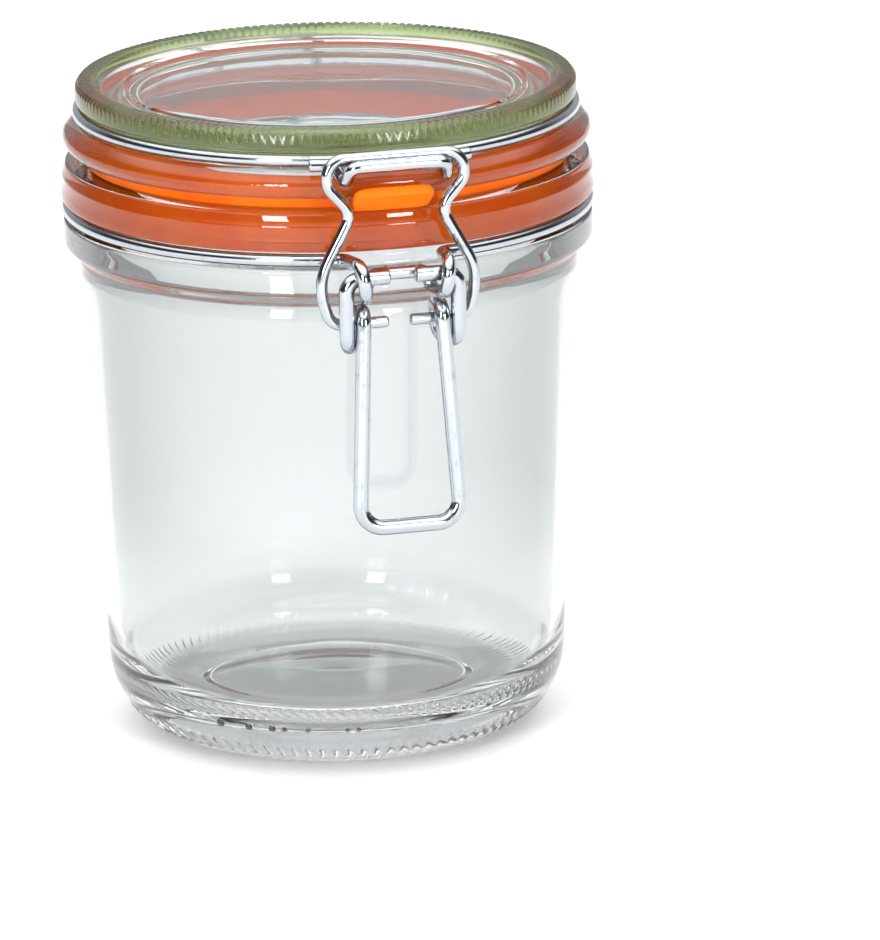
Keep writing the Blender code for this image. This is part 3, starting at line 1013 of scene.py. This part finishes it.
@dataclass
class LidWires:
    """The ring in the lid's groove, the nose that the bail hooks over, and the hinge yoke at the back."""

    radius: float = 1.4
    ring_radius: float = 55.4
    ring_height: float = 142.05
    nose_reach: float = 63.8
    nose_height: float = 142.3
    nose_half_width: float = 10.5
    curl_height: float = 137.95
    curl_reach: float = 60.6
    curl_x: float = 11.4
    leg_height: float = 141.7
    leg_start: float = 12.8
    leg_end: float = 18.0
    yoke_reach: float = 69.1
    yoke_x: float = 13.2
    yoke_stub_end: float = 4.5

    def leg(self, x: float, bend: float) -> Stop:
        """The stop at X = x where a leg lies along the outside of the lid's ring."""
        out = self.ring_radius + 2 * self.radius + 0.3
        return x, math.sqrt(out ** 2 - x ** 2), self.leg_height, bend

    def ring(self) -> Surface:
        """The plain ring."""
        angle = np.linspace(0.0, 2 * math.pi, 240, endpoint=False)
        path = np.stack([self.ring_radius * np.cos(angle), self.ring_radius * np.sin(angle),
                         np.full_like(angle, self.ring_height)], axis=1)
        return wire(path, self.radius, closed=True)

    def nose(self) -> Surface:
        """The front bar with a curl down at each end and a leg back along the ring."""
        path = mirrored_route(Side.FRONT, [
            self.leg(-self.leg_end, 0.0),
            self.leg(-(self.leg_end + self.leg_start) / 2, 0.0),
            self.leg(-self.leg_start, 1.9),
            (-self.curl_x, self.curl_reach, self.curl_height, 1.9),
            (-self.nose_half_width, self.nose_reach, self.nose_height, 2.0),
            (0.0, self.nose_reach, self.nose_height, 0.0),
        ], 9.0)
        return wire(path, self.radius)

    def yoke(self) -> Surface:
        """Stubs in the rear eyelets, rising to a wire along the back of the lid's ring."""
        path = mirrored_route(Side.BACK, [
            (-self.yoke_stub_end, PIVOT_REACH, PIVOT_HEIGHT, 0.0),
            (-self.yoke_x, PIVOT_REACH, PIVOT_HEIGHT, 3.0),
            (-self.yoke_x, self.yoke_reach, PIVOT_HEIGHT + 4.5, 3.0),
            (-self.yoke_x, self.yoke_reach, PIVOT_HEIGHT + 11.0, 5.0),
            self.leg(-self.yoke_x, 2.4),
            self.leg(-self.yoke_x / 2, 0.0),
            self.leg(0.0, 0.0),
        ], 9.0)
        return wire(path, self.radius)

    def build(self, steel: Material) -> list[Object]:
        """Make the three wires and let each stand for its CAD node."""
        pieces = (("lid_wire", self.ring(), "lid_ring"), ("nose_wire", self.nose(), "lid_nose"),
                  ("yoke_wire", self.yoke(), "hinge_yoke"))
        return [dress(surface.to_object(name, steel), Body.JAR, node)
                for name, surface, node in pieces]


@dataclass
class Latch:
    """The lever with its handle and hooks, and the bail that it pulls down over the nose."""

    lever_radius: float = 1.7
    bail_radius: float = 1.28
    stub_end: float = 2.9
    link_x: float = 12.5
    link_foot: float = 102.4
    pin_reach: float = 61.7
    pin_height: float = 107.2
    hook_x: float = 9.0
    hook_top: float = 110.5
    hook_back: float = 58.4
    hook_front: float = 65.0
    handle_x: float = 11.3
    handle_reach: float = 68.8
    handle_foot: float = 63.0
    pin_end: float = 2.5
    bail_top_reach: float = 60.55
    bail_top: float = 143.6

    def lever(self) -> Surface:
        """Stub in the eyelet, link down, hook over the bail's pin, and handle; the same on both sides."""
        path = mirrored_route(Side.FRONT, [
            (-self.stub_end, PIVOT_REACH, PIVOT_HEIGHT, 0.0),
            (-self.link_x, PIVOT_REACH, PIVOT_HEIGHT, 3.2),
            (-self.link_x, PIVOT_REACH - 0.2, self.link_foot, 3.2),
            (-self.hook_x - 0.4, self.hook_back, self.link_foot, 3.2),
            (-self.hook_x, self.hook_back, self.hook_top, 3.15),
            (-self.hook_x + 0.3, self.hook_front, self.hook_top, 3.15),
            (-self.handle_x, self.handle_reach, self.handle_foot, 5.0),
            (0.0, self.handle_reach, self.handle_foot, 0.0),
        ])
        return wire(path, self.lever_radius)

    def bail(self) -> Surface:
        """The hourglass loop, from one pin up over the nose and down to the other, in one leaning plane."""
        lean = (self.bail_top_reach - self.pin_reach) / (self.bail_top - self.pin_height)
        outline = ((self.pin_end, self.pin_height, 0.0), (15.2, self.pin_height, 3.5), (18.1, 116.6, 12.5),
                   (9.9, 131.6, 4.2), (15.3, 137.6, 3.4), (15.3, self.bail_top, 3.9),
                   (0.0, self.bail_top, 0.0))
        path = mirrored_route(Side.FRONT, [
            (-x, self.pin_reach + lean * (height - self.pin_height), height, bend)
            for x, height, bend in outline])
        return wire(path, self.bail_radius)

    def build(self, steel: Material) -> list[Object]:
        """Make both wires and let each stand for its CAD node."""
        lever = dress(self.lever().to_object("lever_wire", steel), Body.LEVER, "lever")
        bail = dress(self.bail().to_object("bail_wire", steel), Body.BAIL, "bail")
        return [lever, bail]


# The studio


@dataclass(frozen=True)
class SoftBox:
    """An area light that faces the jar, given by its bearing from the jar's front and its size in metres."""

    name: str
    bearing: float
    height: float
    distance: float
    width: float
    tall: float
    power: float

    def build(self, target: Vector) -> Object:
        """Make the light and turn it to the target."""
        data = bpy.data.lights.new(self.name, "AREA")
        data.shape = "RECTANGLE"
        data.size = self.width
        data.size_y = self.tall
        data.energy = self.power
        light = add_object(self.name, data)
        bearing = math.radians(self.bearing)
        spot = Vector((math.sin(bearing), -math.cos(bearing), 0.0)) * self.distance
        light.location = Vector((spot.x, spot.y, self.height))
        light.rotation_euler = (target - light.location).to_track_quat("-Z", "Y").to_euler()
        return light


@dataclass
class Studio:
    """Camera, floor and lights."""

    azimuth: float = 14.0
    elevation: float = 15.126
    roll: float = 1.17
    distance: float = 1.71995
    target_height: float = 0.070
    lens: float = 291.97
    shift: Span = (0.1146, -0.0582)
    floor_size: float = 12.0
    floor_colour: Colour = (0.93, 0.93, 0.93)
    ceiling: float = 2.1
    backdrop: float = 0.55
    walls: float = 0.06
    ceiling_span: Span = (0.46, 0.74)
    backdrop_span: Span = (0.35, 0.95)
    tone_span: Span = (0.3, 0.7)
    cool: Colour = (0.90, 0.96, 1.0)
    white: Colour = (1.0, 1.0, 1.0)
    light_target_height: float = 0.08
    light_bounces: int = 20

    def camera(self) -> Object:
        """The camera, aimed at a point on the jar's axis from the front left and above."""
        target = Vector((0.0, 0.0, self.target_height))
        azimuth, elevation = math.radians(self.azimuth), math.radians(self.elevation)
        view = Vector((math.sin(azimuth) * math.cos(elevation), math.cos(azimuth) * math.cos(elevation),
                       -math.sin(elevation)))
        data = bpy.data.cameras.new("camera")
        data.sensor_fit = "VERTICAL"
        data.sensor_height = 36.0
        data.lens = self.lens
        data.shift_x, data.shift_y = self.shift
        data.clip_start, data.clip_end = 0.05, 50.0
        data.dof.use_dof = False
        camera = add_object("camera", data)
        turn = view.to_track_quat("-Z", "Y").to_matrix().to_4x4()
        roll = Matrix.Rotation(-math.radians(self.roll), 4, "Z")
        camera.matrix_world = Matrix.Translation(target - view * self.distance) @ turn @ roll
        bpy.context.scene.camera = camera
        return camera

    def floor(self) -> Object:
        """A plain pale floor."""
        half = self.floor_size / 2
        mesh = bpy.data.meshes.new("floor")
        corners = [(-half, -half, 0), (half, -half, 0), (half, half, 0), (-half, half, 0)]
        mesh.from_pydata(corners, [], [(0, 1, 2, 3)])
        material, shader = new_shader("pale_floor")
        surface = shader.node("ShaderNodeBsdfPrincipled", {}, {
            "Base Color": rgba(self.floor_colour), "Roughness": 0.8, "Specular IOR Level": 0.2})
        mesh.materials.append(finish_material(material, shader, surface, self.floor_colour))
        floor = add_object("floor", mesh)
        floor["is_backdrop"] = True
        return floor

    def world(self) -> World:
        """A studio room: a bright ceiling, a dim backdrop and darker walls towards the camera."""
        world = bpy.data.worlds.new("room")
        world.use_nodes = True
        shader = Shader(world.node_tree)
        side, depth, height = shader.parts(shader.node("ShaderNodeTexCoord", {}, {}, "Generated"))
        turn = math.radians(self.azimuth)
        ahead = side * math.sin(turn) + depth * math.cos(turn)
        ceiling = height.ramp(*self.ceiling_span) * self.ceiling
        backdrop = ahead.ramp(*self.backdrop_span) * (self.backdrop - self.walls) + self.walls
        colour = shader.mix(height.ramp(*self.tone_span), rgba(self.cool), rgba(self.white))
        light = {"Color": colour, "Strength": ceiling.above(backdrop)}
        background = shader.node("ShaderNodeBackground", {}, light)
        shader.node("ShaderNodeOutputWorld", {}, {"Surface": background})
        bpy.context.scene.world = world
        return world

    def build(self) -> None:
        """Set up everything that the render needs besides the jar."""
        self.world()
        self.floor()
        self.camera()
        boxes = (
            SoftBox("left_strip", -37.0, 0.55, 1.5, 0.28, 0.62, 13.0),
            SoftBox("right_strip", 17.0, 0.55, 1.9, 0.36, 0.62, 17.0),
        )
        for box in boxes:
            box.build(Vector((0.0, 0.0, self.light_target_height)))
        scene = bpy.context.scene
        scene.view_settings.view_transform = "Standard"
        scene.cycles.max_bounces = scene.cycles.transmission_bounces = self.light_bounces
        scene.cycles.glossy_bounces = 8
        scene.cycles.diffuse_bounces = 4
        log.info("studio: %d lights", len(boxes))


def write_sizes() -> None:
    """Turn the bounds before and after the looks were added into plain lists; they are not kept or written.
    """
    def plain(bounds: object) -> object:
        """Turn vectors into lists, whatever holds them."""
        if isinstance(bounds, dict):
            return {key: plain(part) for key, part in bounds.items()}
        if isinstance(bounds, (int, float, str)) or bounds is None:
            return bounds
        return [plain(part) for part in bounds]

    {"frame": plain(START_BOUNDS), "dressed": plain(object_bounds())}


def main() -> None:
    """Build and dress the jar piece by piece, then the studio."""
    logging.basicConfig(level=logging.INFO, format="%(name)s: %(message)s")
    glass = ClearGlass("clear_glass").material()
    # The heel's mould dots get nearly black glass: painted shade.
    dot_shade_glass = ClearGlass("dot_painted_shade_glass", DOT_PAINTED_SHADE_TINT, DOT_PAINTED_SHADE_TINT, DOT_PAINTED_SHADE_TINT, DOT_PAINTED_SHADE_TINT).material()
    rubber = OrangeRubber().material()
    steel = SteelWire().material()
    GlassJar().build(glass)
    HeelDots().build(dot_shade_glass)
    GlassLid().build(glass)
    SealRing().build(rubber)
    NeckWire().build(steel)
    LidWires().build(steel)
    Latch().build(steel)
    Studio().build()
    write_sizes()


if __name__ == "__main__":
    main()
